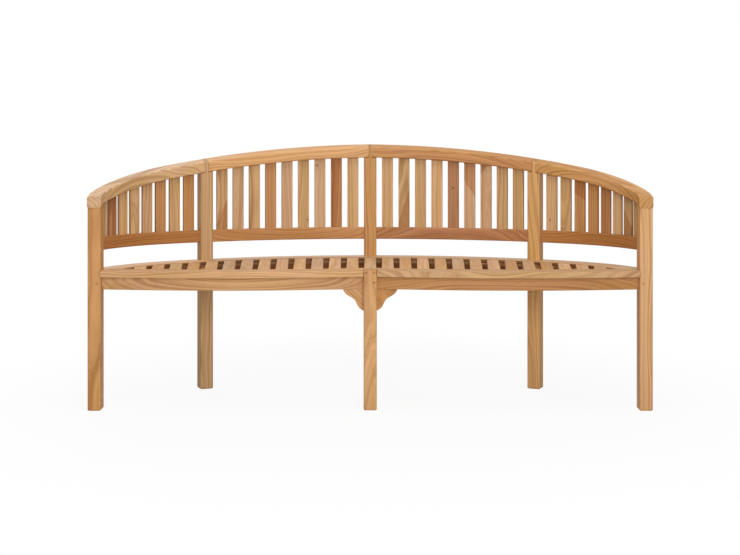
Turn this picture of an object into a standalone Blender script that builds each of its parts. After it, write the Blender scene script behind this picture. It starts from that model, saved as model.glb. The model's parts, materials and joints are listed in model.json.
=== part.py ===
"""Curved garden bench in teak: a three-centred back on five posts, over a peanut-shaped slatted seat.

Every board is a solid of its own, apart from the back slats, which are glued into the lower rails and
make one panel with each. Rails, aprons and bearers are tenoned into the posts, the back rail drops over
the slats and the end posts, a tongue of each rear post rises between its boards, and the seat slats lie
tongued into the grooved boards round the seat.

Metres, +Z up, +X to the right as seen from the front, -Y towards the front. The plan is drawn with
y = 0 on the front faces of the two end posts, and an empty then centres the bench on the origin.
"""
from math import asin, cos, pi, radians, sin, sqrt

import bmesh
import bpy
from mathutils import Matrix, Vector

# Overall sizes, in metres
HALF_LENGTH = 0.900            # middle of the bench to the outer face of an end post
SEAT_HEIGHT = 0.447            # floor to the top of the seat boards
BACK_HEIGHT = 0.842            # floor to the top of the back rail on its own line, at the middle
ARM_HEIGHT = 0.690             # the same over the centre of an end post
BACK_DEPTH = 0.533             # front faces of the end posts to the back's line, at the middle
MIDDLE_RADIUS = 1.18           # the back's line in plan: the wide arc in the middle
END_TURN = radians(73)         # how far the line has turned where it bends on to the end post
BEND_RADIUS = 0.094            # the short bend that brings it square to the front
FIT_GAP = 0.0003               # clearance between any two pieces that meet
OVERRUN = 0.004                # how far a cutter stands clear of what it cuts

# Posts and the middle leg
END_POST_WIDTH = 0.042
END_POST_DEPTH = 0.052
REAR_POST_SIZE = 0.045
REAR_POST_SHARE = 0.5656       # place of the side ones, as a share of the line to the end post's rear
REAR_POST_LAG = radians(5)     # and they turn in this much less than the line
REAR_POST_TONGUE = 0.0125      # width of the tongue that rises between the boards of the back rail
FRONT_LEG_WIDTH = 0.042
FRONT_LEG_DEPTH = 0.052
FRONT_LEG_SETBACK = 0.0076     # its front face behind those of the end posts
POST_CHAMFER = 0.0025
FOOT_CHAMFER = 0.003
POST_TENON_HEIGHT = 0.016
POST_SHOULDER = 0.011

# Back rail: flat boards sawn to the curve and laid on a slope
TOP_RAIL_WIDTH = 0.045
TOP_RAIL_THICKNESS = 0.037
TOP_RAIL_CHAMFER = 0.0035
CROWN_FALL_SHARE = 0.0122      # fall of the middle boards per metre along X
CROWN_TILT_SHARE = 0.285       # their rise per metre towards the rear

# Lower back rail
LOWER_RAIL_LIFT = 0.1025       # top of the seat to the top of the rail
LOWER_RAIL_HEIGHT = 0.0415
LOWER_RAIL_WIDTH = 0.029
LOWER_RAIL_CHAMFER = 0.002

# Back slats
BACK_SLAT_WIDTH = 0.0395
BACK_SLAT_GAP = 0.0199         # between the slats of a middle panel, and beside the rear posts
END_SLAT_GAP = 0.0139          # between those of an end panel
LAST_SLAT_GAP = 0.005          # beside the end post
BACK_SLAT_THICKNESS = 0.010
BACK_SLAT_SHOULDER = 0.002
BACK_SLAT_TENON = 0.010

# Seat boards and aprons
SEAT_BOARD_THICKNESS = 0.020
FRONT_BOARD_WIDTH = 0.086
FRONT_SWELL = 0.048            # how far each half of the seat swells ahead of the end posts
FRONT_WAIST = 0.003            # how far the front edge falls behind them at the middle leg
FRONT_END_LEAD = 0.012         # how far it is still ahead where it meets the end post
BACK_BOARD_WIDTH = 0.088
BACK_BOARD_REAR = 0.018        # rear edge of the back boards behind the back's line
GROOVE_DEPTH = 0.008
GROOVE_HEIGHT = 0.008
APRON_HEIGHT = 0.042
APRON_THICKNESS = 0.024
APRON_SETBACK = 0.030          # front board's edge to the apron's face
APRON_CHAMFER = 0.0015

# Seat slats
SEAT_SLAT_WIDTH = 0.0395
SEAT_SLAT_PITCH = 0.05735      # measured across the line where the slats leave the front boards
SEAT_SLAT_LINE = 0.0676        # and that line's place behind the end posts' front faces
SEAT_SLAT_DROP = 0.001         # slats lie this much below the boards round them
SEAT_SLAT_TONGUE = 0.007
SEAT_FAN_REACH = 5.22          # the slats spread from a point this far in front of that line
SEAT_END_CLEARANCE = 0.134     # outer face of the end post to the nearest place for a slat's side

# Bearers under the slats, brackets beside the middle leg
BEARER_WIDTH = 0.024
BEARER_TENON = 0.005
BEARER_SHOULDER = 0.004
BRACKET_REACH = 0.065
BRACKET_DROP = 0.069
BRACKET_THICKNESS = 0.020
BRACKET_LOBE = 0.0027
BRACKET_HOLLOW = 0.0023
BRACKET_TOE = 0.003

# Tenons of rails, aprons and front boards
TENON_LENGTH = 0.017
END_TENON_LENGTH = 0.012       # in the rear face of an end post, clear of the front apron's
TENON_SHOULDER = 0.005
TENON_CHEEK = 0.004
TENON_CHAMFER = 0.0006

# How finely curves are drawn
RAIL_STEPS_MIDDLE = 14
RAIL_STEPS_END = 14
BOARD_STEPS = 22
BRACKET_STEPS = 20
HALVINGS = 40                  # rounds of bisection, far finer than a float

# Worked out from the sizes above
HALF_GAP = FIT_GAP / 2
LOWER_RAIL_TOP = SEAT_HEIGHT + LOWER_RAIL_LIFT
SEAT_UNDERSIDE = SEAT_HEIGHT - SEAT_BOARD_THICKNESS
APRON_TOP = SEAT_UNDERSIDE - FIT_GAP
SLAT_TOP = SEAT_HEIGHT - SEAT_SLAT_DROP
GROOVE_MIDDLE = SEAT_HEIGHT - SEAT_BOARD_THICKNESS / 2
END_POST_X = HALF_LENGTH - END_POST_WIDTH / 2
END_POST_Y = END_POST_DEPTH / 2
END_POST_INNER_X = HALF_LENGTH - END_POST_WIDTH
LEG_SIDE_X = FRONT_LEG_WIDTH / 2
LEG_MIDDLE_Y = FRONT_LEG_SETBACK + FRONT_LEG_DEPTH / 2
LEG_REAR_Y = FRONT_LEG_SETBACK + FRONT_LEG_DEPTH
SLATS_PER_SIDE = int((HALF_LENGTH - SEAT_END_CLEARANCE - SEAT_SLAT_WIDTH / 2) / SEAT_SLAT_PITCH)
BACK_BOARD_FRONT = BACK_BOARD_REAR - BACK_BOARD_WIDTH
REAR_REACH = BACK_DEPTH + max(REAR_POST_SIZE, TOP_RAIL_WIDTH) / 2
DEPTH_CENTRE = (REAR_REACH - FRONT_SWELL) / 2


# Plan curves

def outward_at(turn):
    """Direction to the rear of the back's line, and square to it, where it has turned this far."""
    return Vector((sin(turn), cos(turn)))


def end_radius(middle_turn):
    """Radius that takes the end arc out to the end post, for a middle arc that turns this far."""
    reach = END_POST_X - MIDDLE_RADIUS * sin(middle_turn) - BEND_RADIUS * (1 - sin(END_TURN))
    return reach / (sin(END_TURN) - sin(middle_turn))


def landing_y(middle_turn):
    """Where the line comes square to the front, for a middle arc that turns this far."""
    radius = end_radius(middle_turn)
    joint_y = BACK_DEPTH - MIDDLE_RADIUS * (1 - cos(middle_turn))
    return joint_y - radius * (cos(middle_turn) - cos(END_TURN)) - BEND_RADIUS * cos(END_TURN)


def middle_turn():
    """Turn of the middle arc that lands the line on the end post. No end arc is tighter than the bend."""
    low, high = 0.0, min(END_TURN, asin(min(1, END_POST_X / MIDDLE_RADIUS)))
    for _ in range(HALVINGS):
        middle = (low + high) / 2
        if landing_y(middle) < END_POST_Y and end_radius(middle) > BEND_RADIUS:
            low = middle
        else:
            high = middle
    return low


MIDDLE_TURN = middle_turn()
END_RADIUS = end_radius(MIDDLE_TURN)
MIDDLE_RUN = MIDDLE_RADIUS * MIDDLE_TURN
END_RUN = MIDDLE_RUN + END_RADIUS * (END_TURN - MIDDLE_TURN)
LAST_RUN = END_RUN + BEND_RADIUS * (pi / 2 - END_TURN)
MIDDLE_CENTRE = Vector((0, BACK_DEPTH - MIDDLE_RADIUS))
END_CENTRE = MIDDLE_CENTRE + outward_at(MIDDLE_TURN) * (MIDDLE_RADIUS - END_RADIUS)
BEND_CENTRE = END_CENTRE + outward_at(END_TURN) * (END_RADIUS - BEND_RADIUS)


def turn_at(run):
    """Angle the back's line has turned through, this far along it from the middle."""
    if run < MIDDLE_RUN:
        return run / MIDDLE_RADIUS
    if run < END_RUN:
        return MIDDLE_TURN + (run - MIDDLE_RUN) / END_RADIUS
    return min(pi / 2, END_TURN + (run - END_RUN) / BEND_RADIUS)


def back_plan(run, offset):
    """Plan point this far along the back's line, set off to the rear of it."""
    outward = outward_at(turn_at(run))
    if run < MIDDLE_RUN:
        return MIDDLE_CENTRE + outward * (MIDDLE_RADIUS + offset)
    if run < END_RUN:
        return END_CENTRE + outward * (END_RADIUS + offset)
    straight = max(0, run - LAST_RUN)
    return BEND_CENTRE + outward * (BEND_RADIUS + offset) - Vector((0, straight))


WAIST_ROOT = sqrt(FRONT_SWELL + FRONT_WAIST)
LEAD_ROOT = sqrt(FRONT_SWELL - FRONT_END_LEAD)
SWELL_X = (WAIST_ROOT * END_POST_INNER_X + LEAD_ROOT * LEG_SIDE_X) / (WAIST_ROOT + LEAD_ROOT)


def front_plan_y(x):
    """Front edge of the seat boards: each half swells forwards in a shallow parabola."""
    away_share = (abs(x) - SWELL_X) / (SWELL_X - LEG_SIDE_X)
    return (FRONT_SWELL + FRONT_WAIST) * away_share ** 2 - FRONT_SWELL


def front_plan(x, offset):
    """Plan point of the front edge at this x, set off to the rear of it."""
    return Vector((x, front_plan_y(x) + offset))


def cut_plane(point, direction):
    """An upright plane across a board's run, given by a plan point and the direction along the board."""
    return point, direction.normalized()


def moved_plane(plane, distance):
    """The same plane, moved along the board."""
    return plane[0] + plane[1] * distance, plane[1]


def crossing(path, plane, low, high):
    """Where a path in plan crosses a plane, by halving."""
    for _ in range(HALVINGS):
        middle = (low + high) / 2
        if (path(middle) - plane[0]).dot(plane[1]) < 0:
            low = middle
        else:
            high = middle
    return (low + high) / 2


def back_line(run):
    """The back's line itself."""
    return back_plan(run, 0)


BACK_LIMITS = (-MIDDLE_RUN, LAST_RUN + BACK_DEPTH)
FRONT_LIMITS = (-HALF_LENGTH, HALF_LENGTH)
END_POST_REAR = cut_plane(Vector((0, END_POST_DEPTH)), Vector((0, -1)))
END_POST_FRONT = cut_plane(Vector((0, 0)), Vector((0, -1)))
REAR_POST_RUN = REAR_POST_SHARE * crossing(back_line, END_POST_REAR, *BACK_LIMITS)
REAR_POST_PLACE = back_line(REAR_POST_RUN)
REAR_POST_TURN = turn_at(REAR_POST_RUN) - REAR_POST_LAG
REAR_POST_AXIS = Vector((cos(REAR_POST_TURN), -sin(REAR_POST_TURN)))     # along the back, outwards
REAR_POST_FACING = Vector((-sin(REAR_POST_TURN), -cos(REAR_POST_TURN)))  # towards the front

MIDDLE_OF_BENCH = cut_plane(Vector((0, 0)), Vector((1, 0)))
CENTRE_POST_SIDE = cut_plane(Vector((REAR_POST_SIZE / 2, 0)), Vector((1, 0)))
REAR_POST_INNER = cut_plane(REAR_POST_PLACE - REAR_POST_AXIS * REAR_POST_SIZE / 2, REAR_POST_AXIS)
REAR_POST_OUTER = cut_plane(REAR_POST_PLACE + REAR_POST_AXIS * REAR_POST_SIZE / 2, REAR_POST_AXIS)
RAIL_SEAM = cut_plane(REAR_POST_PLACE, Vector((cos(turn_at(REAR_POST_RUN)), -sin(turn_at(REAR_POST_RUN)))))
LEG_SIDE = cut_plane(Vector((LEG_SIDE_X, 0)), Vector((1, 0)))
END_POST_INNER = cut_plane(Vector((END_POST_INNER_X, 0)), Vector((1, 0)))


# Slope of the back rail: one flat plane over each middle board and one over each end board

def end_slope():
    """Slope of an end board's plane. It shares the seam with the middle board and meets the arm height."""
    along = RAIL_SEAM[1]
    across = Vector((-along.y, along.x))
    middle_slope = Vector((-CROWN_FALL_SHARE, CROWN_TILT_SHARE))
    reach = Vector((END_POST_X, END_POST_Y)) - REAR_POST_PLACE
    seam_height = middle_board_top(REAR_POST_PLACE)
    across_slope = middle_slope.dot(across)
    along_slope = (ARM_HEIGHT - seam_height - across_slope * reach.dot(across)) / reach.dot(along)
    return across * across_slope + along * along_slope


def middle_board_top(spot):
    """Height of the middle boards' plane over a plan point."""
    return BACK_HEIGHT - CROWN_FALL_SHARE * abs(spot.x) - CROWN_TILT_SHARE * (BACK_DEPTH - spot.y)


END_SLOPE = end_slope()


def rail_top(spot):
    """Height of the back rail's top over a plan point on the right-hand half."""
    beyond = (spot - REAR_POST_PLACE).dot(RAIL_SEAM[1])
    if beyond < 0:
        return middle_board_top(spot)
    return middle_board_top(REAR_POST_PLACE) + END_SLOPE.dot(spot - REAR_POST_PLACE)


def rail_underside(spot):
    return rail_top(spot) - TOP_RAIL_THICKNESS


def level(height):
    """A top surface that is level at this height."""
    return lambda spot: height


# Outlines of cross-sections, as (offset to the rear, height from the top) pairs

def eased_rectangle(front, rear, bottom, top, chamfer):
    return [(front + chamfer, bottom), (rear - chamfer, bottom), (rear, bottom + chamfer),
            (rear, top - chamfer), (rear - chamfer, top), (front + chamfer, top),
            (front, top - chamfer), (front, bottom + chamfer)]


def grooved_rectangle(plain, grooved, bottom, top):
    """A board's section with a groove run along one of its two edges."""
    inwards = GROOVE_DEPTH if plain > grooved else -GROOVE_DEPTH
    groove_top = GROOVE_MIDDLE - SEAT_HEIGHT + GROOVE_HEIGHT / 2
    groove_bottom = groove_top - GROOVE_HEIGHT
    return [(plain, bottom), (plain, top), (grooved, top), (grooved, groove_top),
            (grooved + inwards, groove_top), (grooved + inwards, groove_bottom),
            (grooved, groove_bottom), (grooved, bottom)]


# Meshes

def skin(rings):
    """A closed solid through rings of points, with a flat face on each end."""
    mesh = bmesh.new()
    rows = [[mesh.verts.new(point) for point in ring] for ring in rings]
    for row, following in zip(rows, rows[1:]):
        for index in range(len(row)):
            after = (index + 1) % len(row)
            mesh.faces.new((row[index], row[after], following[after], following[index]))
    mesh.faces.new(rows[0][::-1])
    mesh.faces.new(rows[-1])
    bmesh.ops.recalc_face_normals(mesh, faces=mesh.faces)
    return mesh


def board(path, limits, profile, top, planes, steps):
    """Rings of a board that follows a plan path between two upright planes."""
    tracks = []
    for offset, rise in profile:
        def line(run, offset=offset):
            return path(run, offset)
        first = crossing(line, planes[0], *limits)
        last = crossing(line, planes[1], *limits)
        track = []
        for step in range(steps + 1):
            spot = line(first + (last - first) * step / steps)
            track.append(Vector((spot.x, spot.y, top(spot) + rise)))
        tracks.append(track)
    return [list(ring) for ring in zip(*tracks)]


def along_back(profile, top, planes, steps):
    return board(back_plan, BACK_LIMITS, profile, top, planes, steps)


def along_front(profile, top, planes, steps):
    return board(front_plan, FRONT_LIMITS, profile, top, planes, steps)


class Tenon:
    """A rectangular tenon that leaves a board's end plane square, and the mortise that takes it."""

    def __init__(self, plane, inwards, centre, width, bottom, top, length=TENON_LENGTH):
        self.into = plane[1] * inwards
        across = Vector((-plane[1].y, plane[1].x))
        self.across = across if across.x + across.y > 0 else -across
        self.centre = centre
        self.width = width
        self.bottom = bottom
        self.top = top
        self.length = length

    def rings(self):
        """The root and the tip, for a board whose section is an eased rectangle."""
        found = []
        for depth in (0, self.length):
            ring = []
            for offset, height in eased_rectangle(-self.width / 2, self.width / 2,
                                                  self.bottom, self.top, TENON_CHAMFER):
                spot = self.centre + self.across * offset + self.into * depth
                ring.append(Vector((spot.x, spot.y, height)))
            found.append(ring)
        return found

    def block(self, mesh, grown, root):
        """A box round the tenon, grown on all sides and started this far ahead of its root."""
        reach = self.length + grown + root
        middle = self.centre + self.into * (reach / 2 - root)
        height = self.top - self.bottom + 2 * grown
        turned = Matrix((self.into.to_3d(), self.across.to_3d(), Vector((0, 0, 1)))).transposed()
        place = Matrix.Translation((middle.x, middle.y, (self.top + self.bottom) / 2))
        size = Matrix.Diagonal((reach, self.width + 2 * grown, height, 1))
        bmesh.ops.create_cube(mesh, size=1, matrix=place @ turned.to_4x4() @ size)

    def mortise(self, mesh):
        self.block(mesh, FIT_GAP, OVERRUN)


def tenoned(rings, start=None, end=None):
    """Adds tenons to the ends of a board's rings."""
    found = list(rings)
    if start:
        found = start.rings()[::-1] + found
    if end:
        found = found + end.rings()
    return found


def rail_tenon(path, limits, plane, inwards, middle, height_range, width, length=TENON_LENGTH):
    """Tenon on the end of a curved rail, centred on the rail's own line where it meets the plane."""
    def line(run):
        return path(run, middle)
    centre = line(crossing(line, plane, *limits))
    return Tenon(plane, inwards, centre, width - 2 * TENON_CHEEK,
                 height_range[0] + TENON_SHOULDER, height_range[1] - TENON_SHOULDER, length)


def back_tenons(height_range, width):
    """Tenons of a rail on the back's line: both ends of a middle piece, then both ends of an end piece."""
    places = ((MIDDLE_BAY[0], -1, TENON_LENGTH), (MIDDLE_BAY[1], 1, TENON_LENGTH),
              (END_BAY[0], -1, TENON_LENGTH), (END_BAY[1], 1, END_TENON_LENGTH))
    return [rail_tenon(back_plan, BACK_LIMITS, plane, inwards, 0, height_range, width, length)
            for plane, inwards, length in places]


def mirrored(mesh):
    """The left-hand twin of a right-hand mesh."""
    twin = mesh.copy()
    bmesh.ops.scale(twin, vec=(-1, 1, 1), verts=twin.verts)
    bmesh.ops.reverse_faces(twin, faces=twin.faces)
    return twin


def merged(meshes):
    """Several meshes in one, as separate bodies."""
    whole = bmesh.new()
    for mesh in meshes:
        holder = bpy.data.meshes.new("holder")
        mesh.to_mesh(holder)
        whole.from_mesh(holder)
        bpy.data.meshes.remove(holder)
    return whole


def both_sides(mesh):
    """A right-hand mesh together with its left-hand twin."""
    return merged([mesh, mirrored(mesh)])


# Objects

for leftover in list(bpy.data.objects):
    bpy.data.objects.remove(leftover)

bench = bpy.data.objects.new("bench", None)
bench.location = (0, -DEPTH_CENTRE, 0)
bpy.context.scene.collection.objects.link(bench)

TONES = {
    "golden": (0.55, 0.31, 0.12, 1),
    "tan": (0.57, 0.35, 0.17, 1),
    "pinkish": (0.58, 0.33, 0.19, 1),
    "reddish": (0.42, 0.20, 0.08, 1),
}
TEAK_ROUGHNESS_SHARE = 0.6


def teak(name, tone):
    """Fine-sanded teak, unoiled, in one of the tones that the boards come in."""
    material = bpy.data.materials.new("teak_" + name)
    material.use_nodes = True
    shader = material.node_tree.nodes["Principled BSDF"]
    shader.inputs["Base Color"].default_value = TONES[tone]
    shader.inputs["Roughness"].default_value = TEAK_ROUGHNESS_SHARE
    shader.inputs["Metallic"].default_value = 0
    return material


def piece(name, mesh, tone):
    """A named piece of the bench."""
    data = bpy.data.meshes.new(name)
    mesh.to_mesh(data)
    data.materials.append(teak(name, tone))
    made = bpy.data.objects.new(name, data)
    made.parent = bench
    bpy.context.scene.collection.objects.link(made)
    return made


def shape_with(target, mesh, label, operation="DIFFERENCE"):
    """Cuts a piece with a mesh, or adds the mesh to it."""
    bmesh.ops.recalc_face_normals(mesh, faces=mesh.faces)
    data = bpy.data.meshes.new(target.name + "_" + label)
    mesh.to_mesh(data)
    tool = bpy.data.objects.new(data.name, data)
    tool.parent = bench
    tool.hide_render = True
    tool.display_type = "WIRE"
    bpy.context.scene.collection.objects.link(tool)
    step = target.modifiers.new(label, "BOOLEAN")
    step.operation = operation
    step.solver = "EXACT"
    step.object = tool


def pair(name, mesh, tone, tools=()):
    """A right-hand piece and its left-hand twin, each with its own cuts."""
    for side, version in (("right", mesh), ("left", mirrored(mesh))):
        made = piece(name.format(side), version, tone)
        for label, tool, operation in tools:
            shape_with(made, tool if side == "right" else mirrored(tool), label, operation)


# Joints shared by the pieces

APRON_RANGE = (APRON_TOP - APRON_HEIGHT, APRON_TOP)
LOWER_RANGE = (LOWER_RAIL_TOP - LOWER_RAIL_HEIGHT, LOWER_RAIL_TOP)
MIDDLE_BAY = (moved_plane(CENTRE_POST_SIDE, FIT_GAP), moved_plane(REAR_POST_INNER, -FIT_GAP))
END_BAY = (moved_plane(REAR_POST_OUTER, FIT_GAP), moved_plane(END_POST_REAR, -FIT_GAP))
FRONT_BAY = (moved_plane(LEG_SIDE, FIT_GAP), moved_plane(END_POST_INNER, -FIT_GAP))
APRON_LINE = APRON_SETBACK + APRON_THICKNESS / 2

lower_tenons = back_tenons(LOWER_RANGE, LOWER_RAIL_WIDTH)
back_apron_tenons = back_tenons(APRON_RANGE, APRON_THICKNESS)
front_apron_tenons = [
    rail_tenon(front_plan, FRONT_LIMITS, plane, inwards, APRON_LINE, APRON_RANGE, APRON_THICKNESS)
    for plane, inwards in zip(FRONT_BAY, (-1, 1))]


def front_board_tenon(plane, inwards, post_middle, post_depth):
    """Tenon on the end of a front board, in the middle half of a post's depth."""
    return Tenon(plane, inwards, Vector((plane[0].x, post_middle)), post_depth / 2,
                 SEAT_UNDERSIDE + TENON_SHOULDER, SEAT_HEIGHT - TENON_SHOULDER)


board_tenons = [front_board_tenon(FRONT_BAY[0], -1, LEG_MIDDLE_Y, FRONT_LEG_DEPTH),
                front_board_tenon(FRONT_BAY[1], 1, END_POST_Y, END_POST_DEPTH)]


def bearer_tenon(point, facing):
    """Short tenon on the end of a bearer."""
    return Tenon((point, facing), 1, point, BEARER_WIDTH - 2 * BEARER_SHOULDER,
                 APRON_RANGE[0] + TENON_SHOULDER, APRON_RANGE[1] - TENON_SHOULDER, BEARER_TENON)


REARWARDS = Vector((0, 1))
SIDE_BEARER_X = REAR_POST_PLACE.x + REAR_POST_FACING.x * REAR_POST_SIZE / 2
APRON_SLOPE = (front_plan_y(SIDE_BEARER_X + BEARER_WIDTH / 2)
               - front_plan_y(SIDE_BEARER_X - BEARER_WIDTH / 2)) / BEARER_WIDTH


def leg_rear(x):
    """What a bearer's front end meets in the middle: the leg."""
    return LEG_REAR_Y + FIT_GAP


def apron_rear(x):
    """What a bearer's front end meets at the side: the apron, which slants a little there."""
    face_y = front_plan_y(SIDE_BEARER_X) + APRON_SETBACK + APRON_THICKNESS + FIT_GAP
    return face_y + APRON_SLOPE * (x - SIDE_BEARER_X)


def centre_post_front(x):
    return BACK_DEPTH - REAR_POST_SIZE / 2 - FIT_GAP


def rear_post_front(x):
    """Front face of the turned post, as a height above the X axis in plan."""
    spot = REAR_POST_PLACE + REAR_POST_FACING * (REAR_POST_SIZE / 2 + FIT_GAP)
    return spot.y - (x - spot.x) * REAR_POST_FACING.x / REAR_POST_FACING.y


centre_bearer_tenons = [bearer_tenon(Vector((0, leg_rear(0))), -REARWARDS),
                        bearer_tenon(Vector((0, centre_post_front(0))), REARWARDS)]
side_bearer_tenons = [
    bearer_tenon(Vector((SIDE_BEARER_X, apron_rear(SIDE_BEARER_X))), Vector((APRON_SLOPE, -1)).normalized()),
    bearer_tenon(Vector((SIDE_BEARER_X, rear_post_front(SIDE_BEARER_X))), -REAR_POST_FACING)]


def mortises(tenons):
    mesh = bmesh.new()
    for tenon in tenons:
        tenon.mortise(mesh)
    return mesh


# Posts

def post_rings(centre, axis, width, depth, top, foot=FOOT_CHAMFER):
    """Eased rectangular post with a chamfered foot, up to a top that follows the rail above."""
    facing = Vector((-axis.y, axis.x))
    rings = []
    for inset, height in ((foot, 0), (0, foot), (0, None)):
        ring = []
        for across, along in eased_rectangle(inset - width / 2, width / 2 - inset,
                                             inset - depth / 2, depth / 2 - inset, POST_CHAMFER):
            spot = centre + axis * across + facing * along
            ring.append(Vector((spot.x, spot.y, top(spot) if height is None else height)))
        rings.append(ring)
    return rings


def post_tenon_rings(centre, axis, width, depth, top):
    """The stub on an end post's top, which the back rail drops over."""
    facing = Vector((-axis.y, axis.x))
    rings = []
    for rise in (0, POST_TENON_HEIGHT):
        ring = []
        for across, along in eased_rectangle(POST_SHOULDER - width / 2, width / 2 - POST_SHOULDER,
                                             POST_SHOULDER - depth / 2, depth / 2 - POST_SHOULDER,
                                             TENON_CHAMFER):
            spot = centre + axis * across + facing * along
            ring.append(Vector((spot.x, spot.y, top(spot) + rise)))
        rings.append(ring)
    return rings


def under_rail(spot):
    """Just below the back rail, on either half."""
    return rail_underside(Vector((abs(spot.x), spot.y))) - FIT_GAP


def over_rail(spot):
    """Top of the back rail, on either half."""
    return rail_top(Vector((abs(spot.x), spot.y)))


def rear_post(centre, axis):
    """A rear post with its tongue, drawn as upright outlines one behind the other from front to rear."""
    facing = Vector((-axis.y, axis.x))
    half = REAR_POST_SIZE / 2
    tongue = REAR_POST_TONGUE / 2
    rings = []
    for inset in (0, POST_CHAMFER, FOOT_CHAMFER, TOP_RAIL_CHAMFER):
        side = half - max(0, POST_CHAMFER - inset)
        foot = max(0, FOOT_CHAMFER - inset)
        top_fall = max(0, TOP_RAIL_CHAMFER - inset)
        outline = []
        for across, height in ((half - FOOT_CHAMFER, foot), (side, FOOT_CHAMFER + foot), (side, under_rail),
                               (tongue, under_rail), (tongue, over_rail)):
            outline.append((across, height, top_fall if height is over_rail else 0))
        outline += [(-across, height, fall) for across, height, fall in outline[::-1]]
        rings.append((half - inset, outline))
    rows = []
    for reach, outline in [(-reach, outline) for reach, outline in rings] + rings[::-1]:
        row = []
        for across, height, fall in outline:
            spot = centre + axis * across + facing * reach
            level_at = height(spot) - fall if callable(height) else height
            row.append(Vector((spot.x, spot.y, level_at)))
        rows.append(row)
    return skin(rows)


def end_post(centre, axis, width, depth):
    return skin(post_rings(centre, axis, width, depth, under_rail)
                + post_tenon_rings(centre, axis, width, depth, under_rail))


def post_hole(mesh, centre, axis, width, depth, bottom, top):
    """A box that follows a post's or a post tenon's outline, for what fits round it."""
    facing = Vector((-axis.y, axis.x))
    turned = Matrix((axis.to_3d(), facing.to_3d(), Vector((0, 0, 1)))).transposed().to_4x4()
    place = Matrix.Translation((centre.x, centre.y, (bottom + top) / 2))
    size = Matrix.Diagonal((width + 2 * FIT_GAP, depth + 2 * FIT_GAP, top - bottom, 1))
    bmesh.ops.create_cube(mesh, size=1, matrix=place @ turned @ size)


ACROSS = Vector((1, 0))
LEG_PLACE = Vector((0, LEG_MIDDLE_Y))
POST_PLACES = ((Vector((0, BACK_DEPTH)), ACROSS, REAR_POST_SIZE, REAR_POST_SIZE),
               (REAR_POST_PLACE, REAR_POST_AXIS, REAR_POST_SIZE, REAR_POST_SIZE),
               (Vector((END_POST_X, END_POST_Y)), ACROSS, END_POST_WIDTH, END_POST_DEPTH))


def make_posts():
    centre = piece("rear_post_centre", rear_post(*POST_PLACES[0][:2]), "golden")
    centre_sides = both_sides(mortises([lower_tenons[0], back_apron_tenons[0]]))
    shape_with(centre, merged([centre_sides, mortises([centre_bearer_tenons[1]])]), "mortises")

    rear_tenons = lower_tenons[1:3] + back_apron_tenons[1:3] + side_bearer_tenons[1:]
    pair("rear_post_{}", rear_post(*POST_PLACES[1][:2]), "golden",
         (("mortises", mortises(rear_tenons), "DIFFERENCE"),))

    end_tenons = [lower_tenons[3], back_apron_tenons[3], front_apron_tenons[1], board_tenons[1]]
    pair("end_post_{}", end_post(*POST_PLACES[2]), "tan",
         (("mortises", mortises(end_tenons), "DIFFERENCE"),))

    rings = post_rings(LEG_PLACE, ACROSS, FRONT_LEG_WIDTH, FRONT_LEG_DEPTH, level(SEAT_HEIGHT))
    leg = piece("front_leg_centre", skin(rings), "golden")
    leg_sides = both_sides(mortises([front_apron_tenons[0], board_tenons[0]]))
    shape_with(leg, merged([leg_sides, mortises([centre_bearer_tenons[0]])]), "mortises")


# Back slats

def slat_runs(start_plane, end_plane, gap, last_gap):
    """Where the slats of a panel stand along the back's line, evenly and about this gap apart."""
    start = crossing(back_line, start_plane, *BACK_LIMITS) + BACK_SLAT_GAP + BACK_SLAT_WIDTH / 2
    end = crossing(back_line, end_plane, *BACK_LIMITS) - last_gap - BACK_SLAT_WIDTH / 2
    steps = max(1, round((end - start) / (BACK_SLAT_WIDTH + gap)))
    return [start + (end - start) * index / steps for index in range(steps + 1)]


MIDDLE_SLAT_RUNS = slat_runs(CENTRE_POST_SIDE, REAR_POST_INNER, BACK_SLAT_GAP, BACK_SLAT_GAP)
END_SLAT_RUNS = slat_runs(REAR_POST_OUTER, END_POST_REAR, END_SLAT_GAP, LAST_SLAT_GAP)


def slat_corners(run, shrink):
    """Four plan points of a back slat's section, or of its tenon's."""
    turn = turn_at(run)
    along = Vector((cos(turn), -sin(turn)))
    outward = Vector((sin(turn), cos(turn)))
    centre = back_plan(run, 0)
    half_width = BACK_SLAT_WIDTH / 2 - shrink
    half_thickness = BACK_SLAT_THICKNESS / 2 - shrink
    return [centre + along * half_width * a + outward * half_thickness * b
            for a, b in ((-1, -1), (1, -1), (1, 1), (-1, 1))]


def lifted(corners, height):
    return [Vector((spot.x, spot.y, height(spot))) for spot in corners]


def back_slat(run):
    """One upright slat: its foot glued into the lower rail, a stub tenon on the slope of the rail above."""
    body = slat_corners(run, 0)
    stub = slat_corners(run, BACK_SLAT_SHOULDER)
    return skin([lifted(body, level(LOWER_RAIL_TOP - BACK_SLAT_TENON)), lifted(body, under_rail),
                 lifted(stub, under_rail), lifted(stub, lambda spot: under_rail(spot) + BACK_SLAT_TENON)])


def slat_mortises(runs):
    """Boxes for the mortises that a panel's slats take in the back rail."""
    hole = bmesh.new()
    for run in runs:
        turn = turn_at(run)
        heights = [under_rail(spot) for spot in slat_corners(run, BACK_SLAT_SHOULDER)]
        post_hole(hole, back_plan(run, 0), Vector((cos(turn), -sin(turn))),
                  BACK_SLAT_WIDTH - 2 * BACK_SLAT_SHOULDER, BACK_SLAT_THICKNESS - 2 * BACK_SLAT_SHOULDER,
                  min(heights) - OVERRUN, max(heights) + BACK_SLAT_TENON + FIT_GAP)
    return hole


# Rails of the back

# A post's top slopes, so the rear corner of its tenon stands this much above its middle
POST_TENON_RISE = (END_POST_DEPTH / 2 - POST_SHOULDER) * CROWN_TILT_SHARE


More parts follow.
